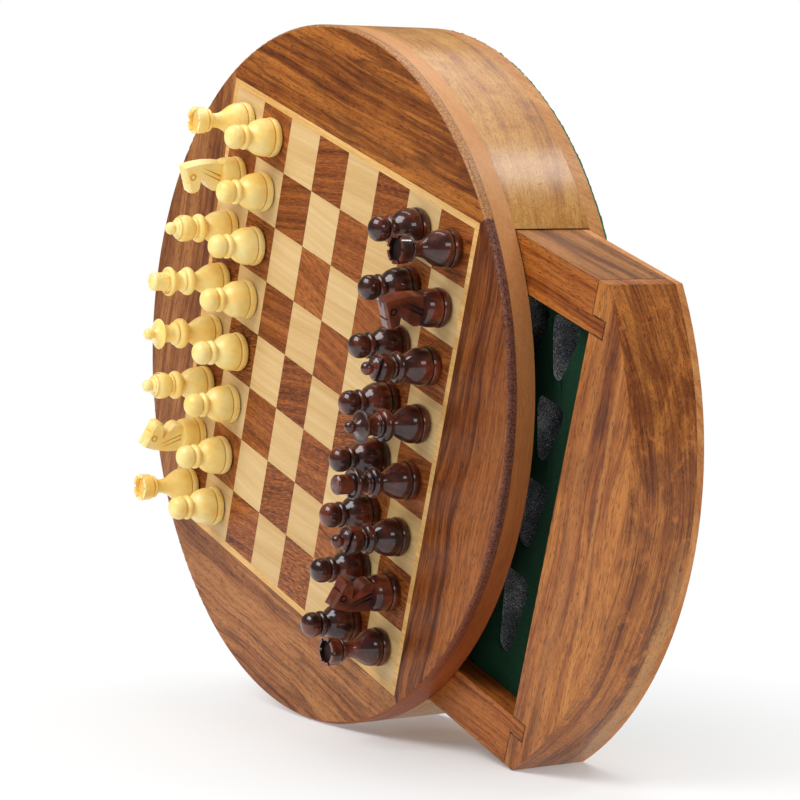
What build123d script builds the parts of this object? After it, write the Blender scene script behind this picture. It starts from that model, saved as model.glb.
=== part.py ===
from build123d import *
from math import cos, radians, sin, sqrt
import os

os.makedirs("parts", exist_ok=True)

# A round wooden chess board with a drawer in its thickness and a set of magnetic men.
# The origin is the centre of the felt's underside, +Z points up through the board,
# and the drawer slides out along +X. All sizes are in mm.

# The case. The disc grows and shrinks with the playing board: corner_land is the wood left
# between the board's corners and the rim, and rear_cheek is the rear block's thickness
# beside the drawer's opening. The side blocks reach in under the board by block_overlap.
felt_thick = 1.2
base_thick = 5.0
block_height = 27.5
slab_thick = 9.5
edge_round = 1.0
corner_land = 3.284
rear_cheek = 3.774
block_overlap = 0.1

# The playing board let into the face
square = 19.05
squares_a_side = 8
border_width = 2.3
veneer_thick = 0.6
veneer_seam = 0.06
steel_thick = 0.5

# The drawer, drawn shut and then set out by drawer_opening
drawer_opening = 49.0
drawer_gap = 0.4
drawer_floor_thick = 2.5
side_thick = 16.0
tongue_thick = 5.3
tongue_length = 6.7
tongue_gap = 0.15
front_cheek = 4.6
back_thick = 10.0
back_rebate = 4.0

# The foam insert and its felt liner. A pocket is cut a little narrower than the man's head,
# which the foam grips.
insert_gap = 0.2
foam_base_thick = 2.8
foam_thick = 12.5
liner_thick = 0.8
pockets_a_row = 8
pocket_front_margin = 22.0
pocket_back_margin = 13.95
foot_wall_gap = 4.5
head_wall_gap = 8.35
pocket_foot_length = 5.0
pocket_side_gap = 0.4
pocket_end_gap = 0.8
pocket_grip = 1.0
pocket_corner = 1.6
pocket_end_round = 2.6

# What every man has: a felt pad, a magnet and a turned ring round the foot. The spares are
# the space left between a man's foot and the sides of its square.
pawn_spare = 2.9
officer_spare = 3.25
pad_thick = 0.5
pad_inset = 0.9
magnet_radius = 3.0
magnet_thick = 2.0
magnet_gap = 0.1
ring_height = 2.2
ring_bulge = 0.25
groove_height = 0.45
groove_depth = 0.5

# Pawn
pawn_body = 5.75
pawn_waist = 2.9
pawn_collar_radius = 4.2
pawn_collar = 2.8
pawn_head_radius = 4.2
pawn_head = 6.6

# Rook
rook_body = 10.0
rook_waist = 2.4
rook_flare = 1.9
rook_ring = 1.1
rook_rim_radius = 4.6
rook_turret = 4.5
rook_wall = 1.1
rook_hollow = 1.3
rook_notch_width = 1.0
rook_notch_depth = 0.8

# Bishop
bishop_body = 6.7
bishop_waist = 2.6
bishop_collar_radius = 4.9
bishop_collar = 4.0
bishop_head_radius = 4.55
bishop_head = 8.05
bishop_neck = 1.7
bishop_tip_radius = 2.1
bishop_slot = 0.9
bishop_slot_tilt = 38.0
bishop_slot_turn = 17.0
bishop_slot_start = 1.4

# Queen
queen_body = 8.0
queen_waist = 2.8
queen_collar_radius = 5.2
queen_collar = 3.9
queen_stem = 3.0
queen_coronet = 3.7
queen_rim_radius = 5.1
queen_cap = 2.2
queen_neck = 1.2
queen_ball_radius = 2.0

# King
king_body = 7.9
king_waist = 2.7
king_collar_radius = 4.85
king_collar = 4.0
king_stem = 2.4
king_coronet = 3.4
king_rim_radius = 5.0
king_rim_round = 1.4
king_drum_radius = 3.1
king_drum = 7.0
king_drum_neck = 0.6
king_notch = 0.7
king_notch_depth = 0.8

# Knight
knight_drum = 4.5
knight_head_height = 15.2
knight_head_thick = 5.2
knight_snout = 6.0
knight_back = 4.6
knight_chest = 4.9
knight_bevel = 0.8
knight_eye_radius = 1.2
knight_cut = 0.5
knight_cut_depth = 0.5

# Heights and outlines worked out from the sizes above
base_bottom = felt_thick
block_bottom = base_bottom + base_thick
slab_bottom = block_bottom + block_height
board_top = slab_bottom + slab_thick
steel_top = board_top - veneer_thick
core_top = steel_top - steel_thick
board_half = square * squares_a_side / 2
recess_half = board_half + border_width
disc_radius = recess_half * sqrt(2) + corner_land
opening_half = recess_half - block_overlap
drawer_half_width = opening_half - drawer_gap
pawn_radius = square / 2 - pawn_spare
officer_radius = square / 2 - officer_spare
ring_top = pad_thick + ring_height
body_bottom = ring_top + groove_height


def arc_x(y):
    """Distance from the disc's middle to its rim, along X at this y."""
    return sqrt(disc_radius**2 - y**2)


# The face: four segments of the disc, mitred at the corners of the playing board
rim_corner = disc_radius / sqrt(2)
for side, turn in (("north", 0), ("west", 90), ("south", 180), ("east", 270)):
    with BuildPart() as segment:
        with BuildSketch(Plane.XY.offset(slab_bottom).rotated((0, 0, turn))):
            with BuildLine():
                Line((-recess_half, recess_half), (recess_half, recess_half))
                Line((recess_half, recess_half), (rim_corner, rim_corner))
                ThreePointArc((rim_corner, rim_corner), (0, disc_radius), (-rim_corner, rim_corner))
                Line((-rim_corner, rim_corner), (-recess_half, recess_half))
            make_face()
        extrude(amount=slab_thick)
        rim_edges = segment.edges().filter_by(GeomType.CIRCLE).sort_by(Axis.Z)
        fillet(rim_edges[-1], radius=edge_round)
    segment.part.label = f"face_segment_{side}"
    export_step(segment.part, f"parts/face_segment_{side}.step")

# Plywood core under the playing board
with BuildPart() as board_core:
    with BuildSketch(Plane.XY.offset(slab_bottom)):
        Rectangle(2 * recess_half, 2 * recess_half)
    extrude(amount=core_top - slab_bottom)
board_core.part.label = "board_core"
export_step(board_core.part, "parts/board_core.step")

# Steel sheet that the magnets hold to
with BuildPart() as steel_sheet:
    with BuildSketch(Plane.XY.offset(core_top)):
        Rectangle(2 * recess_half, 2 * recess_half)
    extrude(amount=steel_thick)
steel_sheet.part.label = "steel_sheet"
export_step(steel_sheet.part, "parts/steel_sheet.step")


def square_centre(column, row):
    """Centre of a square, counted from the corner at -X and -Y."""
    middle = (squares_a_side - 1) / 2
    return (column - middle) * square, (row - middle) * square


# The veneer squares: the corner square at -X and -Y is dark
for name, parity in (("dark_squares", 0), ("light_squares", 1)):
    with BuildPart() as veneers:
        with BuildSketch(Plane.XY.offset(steel_top)):
            for column in range(squares_a_side):
                for row in range(squares_a_side):
                    if (column + row) % 2 == parity:
                        with Locations(square_centre(column, row)):
                            Rectangle(square - veneer_seam, square - veneer_seam)
        extrude(amount=veneer_thick)
    veneers.part.label = name
    export_step(veneers.part, f"parts/{name}.step")

# Four mitred strips of light veneer between the squares and the face segments
with BuildPart() as border_strips:
    for turn in (0, 90, 180, 270):
        with BuildSketch(Plane.XY.offset(steel_top).rotated((0, 0, turn))):
            with BuildLine():
                Polyline(
                    (-board_half + veneer_seam, board_half),
                    (board_half - veneer_seam, board_half),
                    (recess_half - veneer_seam, recess_half),
                    (-recess_half + veneer_seam, recess_half),
                    close=True,
                )
            make_face()
        extrude(amount=veneer_thick)
border_strips.part.label = "border_strips"
export_step(border_strips.part, "parts/border_strips.step")

# Side blocks: the disc's segments on either side of the drawer
for side, turn in (("north", 0), ("south", 180)):
    with BuildPart() as side_block:
        with BuildSketch(Plane.XY.offset(block_bottom).rotated((0, 0, turn))):
            with BuildLine():
                Line((-arc_x(opening_half), opening_half), (arc_x(opening_half), opening_half))
                ThreePointArc(
                    (arc_x(opening_half), opening_half),
                    (0, disc_radius),
                    (-arc_x(opening_half), opening_half),
                )
            make_face()
        extrude(amount=block_height)
    side_block.part.label = f"side_block_{side}"
    export_step(side_block.part, f"parts/side_block_{side}.step")

# Rear block: it closes the drawer's opening at the back and stops the drawer
rear_face_x = rear_cheek - arc_x(opening_half)
with BuildPart() as rear_block:
    with BuildSketch(Plane.XY.offset(block_bottom)):
        with BuildLine():
            Line((rear_face_x, -opening_half), (rear_face_x, opening_half))
            Line((rear_face_x, opening_half), (-arc_x(opening_half), opening_half))
            ThreePointArc(
                (-arc_x(opening_half), opening_half),
                (-disc_radius, 0),
                (-arc_x(opening_half), -opening_half),
            )
            Line((-arc_x(opening_half), -opening_half), (rear_face_x, -opening_half))
        make_face()
    extrude(amount=block_height)
rear_block.part.label = "rear_block"
export_step(rear_block.part, "parts/rear_block.step")

# Base panel and the felt under it
for name, bottom, thick in (("base_panel", base_bottom, base_thick), ("base_felt", 0, felt_thick)):
    with BuildPart() as disc:
        with BuildSketch(Plane.XY.offset(bottom)):
            Circle(disc_radius)
        extrude(amount=thick)
    disc.part.label = name
    export_step(disc.part, f"parts/{name}.step")

# The drawer's faces, with the drawer shut; shut_x moves a shut place to its open one
drawer_bottom_z = block_bottom + drawer_gap
drawer_floor_z = drawer_bottom_z + drawer_floor_thick
drawer_top_z = slab_bottom - drawer_gap
drawer_wall = drawer_top_z - drawer_floor_z
cheek_x = arc_x(drawer_half_width)
drawer_back_x = rear_face_x + drawer_gap
front_inner_x = cheek_x - front_cheek
tray_half = drawer_half_width - side_thick
tray_back_x = drawer_back_x + back_thick


def shut_x(height):
    """Drawing plane at this height, moved so that x is counted with the drawer shut."""
    return Plane.XY.offset(height).shift_origin((drawer_opening, 0, height))


# Front: a segment of the disc with a groove at each end for the tongues of the sides
with BuildPart() as drawer_front:
    with BuildSketch(shut_x(drawer_floor_z)):
        with BuildLine():
            Line((front_inner_x, drawer_half_width), (front_inner_x, -drawer_half_width))
            Line((front_inner_x, -drawer_half_width), (cheek_x, -drawer_half_width))
            ThreePointArc(
                (cheek_x, -drawer_half_width), (disc_radius, 0), (cheek_x, drawer_half_width)
            )
            Line((cheek_x, drawer_half_width), (front_inner_x, drawer_half_width))
        make_face()
    extrude(amount=drawer_wall)
    groove_depth_x = tongue_length + tongue_gap
    with BuildSketch(shut_x(drawer_floor_z)):
        for end in (1, -1):
            with Locations((front_inner_x + groove_depth_x / 2, end * (tray_half + tongue_thick / 2))):
                Rectangle(groove_depth_x, tongue_thick + 2 * tongue_gap)
    extrude(amount=drawer_wall, mode=Mode.SUBTRACT)
drawer_front.part.label = "drawer_front"
export_step(drawer_front.part, "parts/drawer_front.step")

# Sides: bars with a bare-faced tongue in front and a rebate for the back
for side, end in (("north", 1), ("south", -1)):
    with BuildPart() as drawer_side:
        with BuildSketch(shut_x(drawer_floor_z)):
            with BuildLine():
                Polyline(
                    (drawer_back_x, end * drawer_half_width),
                    (front_inner_x, end * drawer_half_width),
                    (front_inner_x, end * (tray_half + tongue_thick)),
                    (front_inner_x + tongue_length, end * (tray_half + tongue_thick)),
                    (front_inner_x + tongue_length, end * tray_half),
                    (tray_back_x, end * tray_half),
                    (tray_back_x, end * (tray_half + back_rebate)),
                    (drawer_back_x, end * (tray_half + back_rebate)),
                    close=True,
                )
            make_face()
        extrude(amount=drawer_wall)
    drawer_side.part.label = f"drawer_side_{side}"
    export_step(drawer_side.part, f"parts/drawer_side_{side}.step")

# Back board, let into the rebates of the sides
with BuildPart() as drawer_back:
    with BuildSketch(shut_x(drawer_floor_z)):
        with Locations((drawer_back_x + back_thick / 2, 0)):
            Rectangle(back_thick, 2 * (tray_half + back_rebate))
    extrude(amount=drawer_wall)
drawer_back.part.label = "drawer_back"
export_step(drawer_back.part, "parts/drawer_back.step")

# Bottom board under the whole outline of the drawer
with BuildPart() as drawer_bottom:
    with BuildSketch(shut_x(drawer_bottom_z)):
        with BuildLine():
            Polyline(
                (cheek_x, drawer_half_width),
                (drawer_back_x, drawer_half_width),
                (drawer_back_x, -drawer_half_width),
                (cheek_x, -drawer_half_width),
            )
            ThreePointArc(
                (cheek_x, -drawer_half_width), (disc_radius, 0), (cheek_x, drawer_half_width)
            )
        make_face()
    extrude(amount=drawer_floor_thick)
drawer_bottom.part.label = "drawer_bottom"
export_step(drawer_bottom.part, "parts/drawer_bottom.step")


def foot(radius):
    """Underside and rounded ring of a man's foot, and the groove above it."""
    Line((0, pad_thick), (radius - ring_bulge, pad_thick))
    ThreePointArc(
        (radius - ring_bulge, pad_thick),
        (radius, pad_thick + ring_height / 2),
        (radius - ring_bulge, ring_top),
    )
    Line((radius - ring_bulge, ring_top), (radius - groove_depth, ring_top))
    Line((radius - groove_depth, ring_top), (radius - groove_depth, body_bottom))
    Line((radius - groove_depth, body_bottom), (radius - ring_bulge, body_bottom))


def body(radius, waist, height, fullness, tuck):
    """Turned body: it leaves the foot upright, draws in, and reaches the waist upright."""
    start = radius - ring_bulge
    top = body_bottom + height
    Bezier(
        (start, body_bottom),
        (start, body_bottom + fullness * height),
        (waist, top - tuck * height),
        (waist, top),
    )
    return top


def double_collar(waist, radius, bottom, height):
    """A large half-round ring with a smaller one on it."""
    split = bottom + 0.72 * height
    top = bottom + height
    shoulder = (waist + radius) / 2
    ThreePointArc((waist, bottom), (radius, (bottom + split) / 2), (shoulder - 0.3, split))
    ThreePointArc((shoulder - 0.3, split), (shoulder, (split + top) / 2), (shoulder - 0.5, top))
    return shoulder - 0.5, top


def close_on_axis(top):
    """The profile's line up the middle of the man."""
    Line((0, top), (0, pad_thick))


def magnet_hole():
    """Blind hole in the underside for the magnet."""
    with Locations((0, 0, pad_thick)):
        Cylinder(
            magnet_radius + magnet_gap,
            magnet_thick + magnet_gap,
            align=(Align.CENTER, Align.CENTER, Align.MIN),
            mode=Mode.SUBTRACT,
        )


with BuildPart() as pawn:
    with BuildSketch(Plane.XZ):
        with BuildLine():
            foot(pawn_radius)
            waist_z = body(pawn_radius, pawn_waist, pawn_body, 0.82, 0.12)
            collar_top = waist_z + pawn_collar
            ThreePointArc(
                (pawn_waist, waist_z),
                (pawn_collar_radius, waist_z + pawn_collar / 2),
                (pawn_waist, collar_top),
            )
            head_middle = collar_top + 0.45 * pawn_head
            pawn_top = collar_top + pawn_head
            Bezier(
                (pawn_waist, collar_top),
                (pawn_head_radius, collar_top + 0.4),
                (pawn_head_radius, head_middle),
            )
            Bezier(
                (pawn_head_radius, head_middle),
                (pawn_head_radius, head_middle + 0.34 * pawn_head),
                (0.6 * pawn_head_radius, pawn_top),
                (0, pawn_top),
            )
            close_on_axis(pawn_top)
        make_face()
    revolve(axis=Axis.Z)
    magnet_hole()

with BuildPart() as rook:
    with BuildSketch(Plane.XZ):
        with BuildLine():
            foot(officer_radius)
            waist_z = body(officer_radius, rook_waist, rook_body, 0.5, 0.45)
            flare_z = waist_z + rook_flare
            ring_z = flare_z + rook_ring
            rook_top = ring_z + rook_turret
            rook_inner = rook_rim_radius - rook_wall
            rook_shoulder = rook_rim_radius - 0.7
            turret_foot = rook_shoulder - groove_depth
            Bezier((rook_waist, waist_z), (rook_waist, flare_z), (turret_foot, flare_z))
            ThreePointArc(
                (turret_foot, flare_z),
                (rook_shoulder, (flare_z + ring_z) / 2),
                (turret_foot, ring_z),
            )
            Line((turret_foot, ring_z), (turret_foot, ring_z + groove_height))
            Line((turret_foot, ring_z + groove_height), (rook_rim_radius - 0.2, ring_z + 0.9))
            Line((rook_rim_radius - 0.2, ring_z + 0.9), (rook_rim_radius, rook_top))
            Line((rook_rim_radius, rook_top), (rook_inner, rook_top))
            Line((rook_inner, rook_top), (rook_inner, rook_top - rook_hollow))
            Line((rook_inner, rook_top - rook_hollow), (0, rook_top - rook_hollow))
            close_on_axis(rook_top - rook_hollow)
        make_face()
    revolve(axis=Axis.Z)
    with BuildSketch(Plane.XY.offset(rook_top)):
        for turn in (15, 75, 135):
            Rectangle(4 * rook_rim_radius, rook_notch_width, rotation=turn)
    extrude(amount=-rook_notch_depth, mode=Mode.SUBTRACT)
    magnet_hole()

with BuildPart() as bishop:
    with BuildSketch(Plane.XZ):
        with BuildLine():
            foot(officer_radius)
            waist_z = body(officer_radius, bishop_waist, bishop_body, 0.72, 0.16)
            neck_r, neck_z = double_collar(
                bishop_waist, bishop_collar_radius, waist_z, bishop_collar
            )
            wide_z = neck_z + bishop_head / 2
            head_top = neck_z + bishop_head
            Bezier(
                (neck_r, neck_z),
                (bishop_head_radius, neck_z + 0.1 * bishop_head),
                (bishop_head_radius, wide_z),
            )
            Bezier(
                (bishop_head_radius, wide_z),
                (bishop_head_radius, wide_z + 0.3 * bishop_head),
                (bishop_neck, head_top),
            )
            tip_centre = head_top + sqrt(bishop_tip_radius**2 - bishop_neck**2)
            bishop_top = tip_centre + bishop_tip_radius
            ThreePointArc(
                (bishop_neck, head_top), (bishop_tip_radius, tip_centre), (0, bishop_top)
            )
            close_on_axis(bishop_top)
        make_face()
    revolve(axis=Axis.Z)
    # A saw cut slopes down into the head and stops short of its middle
    slot_turn = Rot(0, 0, -bishop_slot_turn) * Rot(0, -bishop_slot_tilt, 0)
    with BuildSketch(Plane(Pos(0, 0, wide_z) * slot_turn)):
        with Locations((bishop_slot_start, 0)):
            Rectangle(
                2 * bishop_head_radius,
                4 * bishop_head_radius,
                align=(Align.MIN, Align.CENTER),
            )
    extrude(amount=bishop_slot / 2, both=True, mode=Mode.SUBTRACT)
    magnet_hole()

with BuildPart() as queen:
    with BuildSketch(Plane.XZ):
        with BuildLine():
            foot(officer_radius)
            waist_z = body(officer_radius, queen_waist, queen_body, 0.5, 0.4)
            neck_r, neck_z = double_collar(queen_waist, queen_collar_radius, waist_z, queen_collar)
            stem_top = neck_z + queen_stem
            rim_z = stem_top + queen_coronet
            cap_z = rim_z + queen_cap
            Bezier((neck_r, neck_z), (queen_waist, neck_z + 0.5), (queen_waist + 0.2, stem_top))
            Bezier(
                (queen_waist + 0.2, stem_top),
                (queen_waist + 0.4, stem_top + 0.6 * queen_coronet),
                (queen_rim_radius, rim_z - 0.5),
            )
            ThreePointArc(
                (queen_rim_radius, rim_z - 0.5),
                (queen_rim_radius + 0.1, rim_z - 0.2),
                (queen_rim_radius - 0.3, rim_z),
            )
            Bezier((queen_rim_radius - 0.3, rim_z), (2 * queen_neck, rim_z), (queen_neck, cap_z))
            ball_centre = cap_z + sqrt(queen_ball_radius**2 - queen_neck**2)
            queen_top = ball_centre + queen_ball_radius
            ThreePointArc(
                (queen_neck, cap_z), (queen_ball_radius, ball_centre), (0, queen_top)
            )
            close_on_axis(queen_top)
        make_face()
    revolve(axis=Axis.Z)
    magnet_hole()

with BuildPart() as king:
    with BuildSketch(Plane.XZ):
        with BuildLine():
            foot(officer_radius)
            waist_z = body(officer_radius, king_waist, king_body, 0.5, 0.4)
            neck_r, neck_z = double_collar(king_waist, king_collar_radius, waist_z, king_collar)
            stem_top = neck_z + king_stem
            rim_z = stem_top + king_coronet
            drum_foot = king_drum_radius - king_drum_neck
            drum_z = rim_z + king_drum_neck
            king_top = rim_z + king_drum
            Bezier((neck_r, neck_z), (king_waist, neck_z + 0.5), (king_waist + 0.3, stem_top))
            rim_low = rim_z - king_rim_round
            rim_inner = king_rim_radius - 0.6
            Line((king_waist + 0.3, stem_top), (king_rim_radius - 0.3, rim_low))
            ThreePointArc(
                (king_rim_radius - 0.3, rim_low),
                (king_rim_radius, (rim_low + rim_z) / 2),
                (rim_inner, rim_z),
            )
            ThreePointArc(
                (rim_inner, rim_z),
                ((rim_inner + drum_foot) / 2, rim_z - 0.4),
                (drum_foot, rim_z),
            )
            Line((drum_foot, rim_z), (king_drum_radius, drum_z))
            Line((king_drum_radius, drum_z), (king_drum_radius, king_top - 0.8))
            Line((king_drum_radius, king_top - 0.8), (king_drum_radius - 0.5, king_top - 0.2))
            Line((king_drum_radius - 0.5, king_top - 0.2), (0, king_top))
            close_on_axis(king_top)
        make_face()
    revolve(axis=Axis.Z)
    # Saw cuts on both sides of the finial leave a plain cross
    with BuildSketch(Plane.YZ.offset(-2 * king_drum_radius)):
        for level in (0.3, 0.6):
            with Locations((king_drum_radius, rim_z + level * king_drum)):
                Rectangle(2 * king_notch_depth, king_notch)
            with Locations((-king_drum_radius, rim_z + level * king_drum)):
                Rectangle(2 * king_notch_depth, king_notch)
    extrude(amount=4 * king_drum_radius, mode=Mode.SUBTRACT)
    magnet_hole()

# The knight's head is sawn from a slab, with bevelled edges; its snout is towards +X
drum_top = body_bottom + knight_drum
throat_z = drum_top + 0.515 * knight_head_height
nose_z = drum_top + 0.76 * knight_head_height
brow_z = drum_top + 0.93 * knight_head_height
ear_z = drum_top + knight_head_height
with BuildPart() as knight_head:
    with BuildSketch(Plane.XZ.offset(-knight_head_thick / 2)):
        with BuildLine():
            Line((-knight_back, drum_top), (knight_chest - 0.7, drum_top))
            ThreePointArc(
                (knight_chest - 0.7, drum_top),
                (knight_chest, drum_top + 2.4),
                (knight_chest - 1.3, drum_top + 4.6),
            )
            Line((knight_chest - 1.3, drum_top + 4.6), (-0.2, throat_z))
            Line((-0.2, throat_z), (knight_snout - 0.7, throat_z + 0.2))
            ThreePointArc(
                (knight_snout - 0.7, throat_z + 0.2),
                (knight_snout, (throat_z + nose_z) / 2),
                (knight_snout - 0.1, nose_z),
            )
            Line((knight_snout - 0.1, nose_z), (-0.2, brow_z))
            Line((-0.2, brow_z), (-2.6, ear_z))
            ThreePointArc(
                (-2.6, ear_z),
                (-knight_back, (drum_top + ear_z) / 2 - 1.0),
                (-knight_back, drum_top),
            )
        make_face()
    extrude(amount=knight_head_thick)
    # Forehead and crest are bevelled towards both cheeks
    for cheek in knight_head.faces().filter_by(Axis.Y):
        rims = cheek.edges().filter_by(lambda edge: edge.center().Z > throat_z + 0.5)
        chamfer(rims.sort_by(Axis.X)[:3], length=knight_bevel)
    # A saw cut across the forehead
    with BuildSketch(Plane.XZ.offset(-knight_head_thick / 2)):
        with BuildLine():
            fore_x = knight_snout / 2
            fore_z = (nose_z + brow_z) / 2
            Polyline(
                (fore_x + 1.0, fore_z + 0.2),
                (fore_x - 0.9, fore_z - 0.5),
                (fore_x - 0.1, fore_z + 1.0),
                close=True,
            )
        make_face()
    extrude(amount=knight_head_thick, mode=Mode.SUBTRACT)
    # A notch between the ears, ring-drilled eyes and slanting cuts for the mane
    with BuildSketch(Plane.YZ.offset(-knight_back)):
        with BuildLine():
            Polyline(
                (-knight_head_thick / 4, ear_z + 0.1),
                (knight_head_thick / 4, ear_z + 0.1),
                (0, brow_z),
                close=True,
            )
        make_face()
    extrude(amount=knight_back - 0.2, mode=Mode.SUBTRACT)
    for face in (1, -1):
        cheek = Plane(
            origin=(0, face * knight_head_thick / 2, 0), x_dir=(1, 0, 0), z_dir=(0, face, 0)
        )
        flip = -face
        with BuildSketch(cheek):
            with Locations((0.2, flip * (nose_z - 0.4))):
                Circle(knight_eye_radius)
                Circle(knight_eye_radius - knight_cut, mode=Mode.SUBTRACT)
            for step in (0, 1):
                foot_x = 1.0 - 1.6 * step
                with BuildLine():
                    Polyline(
                        (foot_x, flip * (drum_top + 0.3)),
                        (foot_x + knight_cut, flip * (drum_top + 0.3)),
                        (foot_x - 3.2 + 0.5 * step, flip * (nose_z - 2.2 - 1.2 * step)),
                        close=True,
                    )
                make_face()
        extrude(amount=-knight_cut_depth, mode=Mode.SUBTRACT)

with BuildPart() as knight:
    with BuildSketch(Plane.XZ):
        with BuildLine():
            foot(officer_radius)
            drum_r = officer_radius - ring_bulge
            Bezier(
                (drum_r, body_bottom),
                (drum_r, body_bottom + 0.8 * knight_drum),
                (drum_r - 1.0, drum_top),
            )
            Line((drum_r - 1.0, drum_top), (0, drum_top))
            close_on_axis(drum_top)
        make_face()
    revolve(axis=Axis.Z)
    add(knight_head.part)
    magnet_hole()

patterns = {
    "pawn": (pawn, pawn_radius, pawn_head_radius),
    "rook": (rook, officer_radius, rook_rim_radius),
    "knight": (knight, officer_radius, knight_snout),
    "bishop": (bishop, officer_radius, bishop_head_radius),
    "queen": (queen, officer_radius, queen_rim_radius),
    "king": (king, officer_radius, king_rim_radius),
}

# The insert: a plain foam sheet, a sheet with pockets cut through it, and a felt liner
pocket_rows = (
    ("pawn",) * pockets_a_row,
    ("pawn",) * pockets_a_row,
    ("rook", "rook", "knight", "knight") * 2,
    ("bishop", "bishop", "queen", "king") * 2,
)
foam_bottom = drawer_floor_z
foam_split = foam_bottom + foam_base_thick
foam_top = foam_split + foam_thick
insert_length = front_inner_x - tray_back_x - 2 * insert_gap
insert_width = 2 * (tray_half - insert_gap)
insert_middle = (front_inner_x + tray_back_x) / 2
pocket_run = front_inner_x - tray_back_x - pocket_front_margin - pocket_back_margin
pocket_pitch = pocket_run / (pockets_a_row - 1)


def pocket_length(kind):
    """Room for a man of this kind lying on its side."""
    return patterns[kind][0].part.bounding_box().max.Z + pocket_end_gap


row_lengths = [max(pocket_length(kind) for kind in kinds) for kinds in pocket_rows]
rows_room = 2 * tray_half - foot_wall_gap - head_wall_gap
row_gap = (rows_room - sum(row_lengths)) / (len(pocket_rows) - 1)


def pocket_outlines():
    """Every pocket's outline: a man lying on its side with its foot towards +Y."""
    for row, kinds in enumerate(pocket_rows):
        row_top = tray_half - foot_wall_gap - sum(row_lengths[:row]) - row * row_gap
        for number, kind in enumerate(kinds):
            _, foot_radius, head_radius = patterns[kind]
            x = front_inner_x - pocket_front_margin - number * pocket_pitch
            half_foot = foot_radius + pocket_side_gap
            half_head = head_radius - pocket_grip
            shoulder_y = row_top - pocket_foot_length
            end_y = row_top - pocket_length(kind)
            with BuildLine() as outline:
                Polyline(
                    (x - half_head, end_y + pocket_end_round),
                    (x - half_foot, shoulder_y),
                    (x - half_foot, row_top - pocket_corner),
                    (x - half_foot + pocket_corner, row_top),
                    (x + half_foot - pocket_corner, row_top),
                    (x + half_foot, row_top - pocket_corner),
                    (x + half_foot, shoulder_y),
                    (x + half_head, end_y + pocket_end_round),
                )
                ThreePointArc(
                    (x + half_head, end_y + pocket_end_round),
                    (x, end_y),
                    (x - half_head, end_y + pocket_end_round),
                )
            make_face(outline.edges())


with BuildPart() as foam_base:
    with BuildSketch(shut_x(foam_bottom)):
        with Locations((insert_middle, 0)):
            Rectangle(insert_length, insert_width)
    extrude(amount=foam_base_thick)
foam_base.part.label = "foam_base"
export_step(foam_base.part, "parts/foam_base.step")

for name, bottom, thick in (
    ("pocket_foam", foam_split, foam_thick),
    ("pocket_liner", foam_top, liner_thick),
):
    with BuildPart() as sheet:
        with BuildSketch(shut_x(bottom)):
            with Locations((insert_middle, 0)):
                Rectangle(insert_length, insert_width)
        extrude(amount=thick)
        with BuildSketch(shut_x(bottom)):
            pocket_outlines()
        extrude(amount=thick, mode=Mode.SUBTRACT)
    sheet.part.label = name
    export_step(sheet.part, f"parts/{name}.step")

# Where the men stand. White is at -X and black at +X; the ranks are listed from -Y to +Y.
# A turn of 0 puts a man's +X side towards the drawer.
white_rank = ("rook", "knight", "bishop", "queen", "king", "bishop", "knight", "rook")
black_rank = ("rook", "knight", "bishop", "king", "queen", "bishop", "knight", "rook")


def place_man(colour, kind, suffix, column, row, turn):
    """Stand a copy of a pattern, with its magnet and felt pad, on its square."""
    man, radius, _ = patterns[kind]
    x, y = square_centre(column, row)
    stand = Location((x, y, board_top), (0, 0, turn))
    with BuildPart() as wood:
        with Locations(stand):
            add(man.part)
    with BuildPart(Plane((x, y, board_top))) as pad:
        Cylinder(radius - pad_inset, pad_thick, align=(Align.CENTER, Align.CENTER, Align.MIN))
    with BuildPart(Plane((x, y, board_top + pad_thick))) as magnet:
        Cylinder(magnet_radius, magnet_thick, align=(Align.CENTER, Align.CENTER, Align.MIN))
    label = f"{colour}_{kind}{suffix}"
    group = Compound(label=label, children=[wood.part, pad.part, magnet.part])
    export_step(group, f"parts/{label}.step")


for colour, rank, rank_column, pawn_column, facing in (
    ("white", white_rank, 0, 1, 180),
    ("black", black_rank, 7, 6, 0),
):
    for row, kind in enumerate(rank):
        if kind == "knight":
            turn = 90 if row < squares_a_side / 2 else -90
        else:
            turn = facing
        if kind in ("queen", "king"):
            suffix = ""
        else:
            suffix = "_south" if row < squares_a_side / 2 else "_north"
        place_man(colour, kind, suffix, rank_column, row, turn)
        place_man(colour, "pawn", f"_{row + 1}", pawn_column, row, facing)
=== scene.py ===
"""Looks of the magnetic travel chess set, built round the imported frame. Sizes are in metres."""

import math

import bmesh
import bpy
from mathutils import Matrix, Vector, noise


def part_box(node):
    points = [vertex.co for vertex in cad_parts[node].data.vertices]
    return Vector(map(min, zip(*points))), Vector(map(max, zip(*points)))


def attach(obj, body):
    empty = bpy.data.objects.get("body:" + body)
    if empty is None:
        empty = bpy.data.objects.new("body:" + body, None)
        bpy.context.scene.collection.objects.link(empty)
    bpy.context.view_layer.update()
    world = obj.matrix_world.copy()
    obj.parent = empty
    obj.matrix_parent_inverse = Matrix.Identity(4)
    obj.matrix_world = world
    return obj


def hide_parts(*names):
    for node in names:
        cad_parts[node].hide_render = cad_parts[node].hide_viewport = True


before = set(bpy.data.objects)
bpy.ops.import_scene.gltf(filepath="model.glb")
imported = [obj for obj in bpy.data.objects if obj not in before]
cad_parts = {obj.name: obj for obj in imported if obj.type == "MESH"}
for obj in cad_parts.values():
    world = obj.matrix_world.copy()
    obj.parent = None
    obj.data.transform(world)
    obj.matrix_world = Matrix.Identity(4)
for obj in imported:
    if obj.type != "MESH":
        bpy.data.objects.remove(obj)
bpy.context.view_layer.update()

MM = 0.001
SQUARE = 19.05

board_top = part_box("dark_squares")[1].z
disc_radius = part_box("face_segment_east")[1].x


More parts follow.
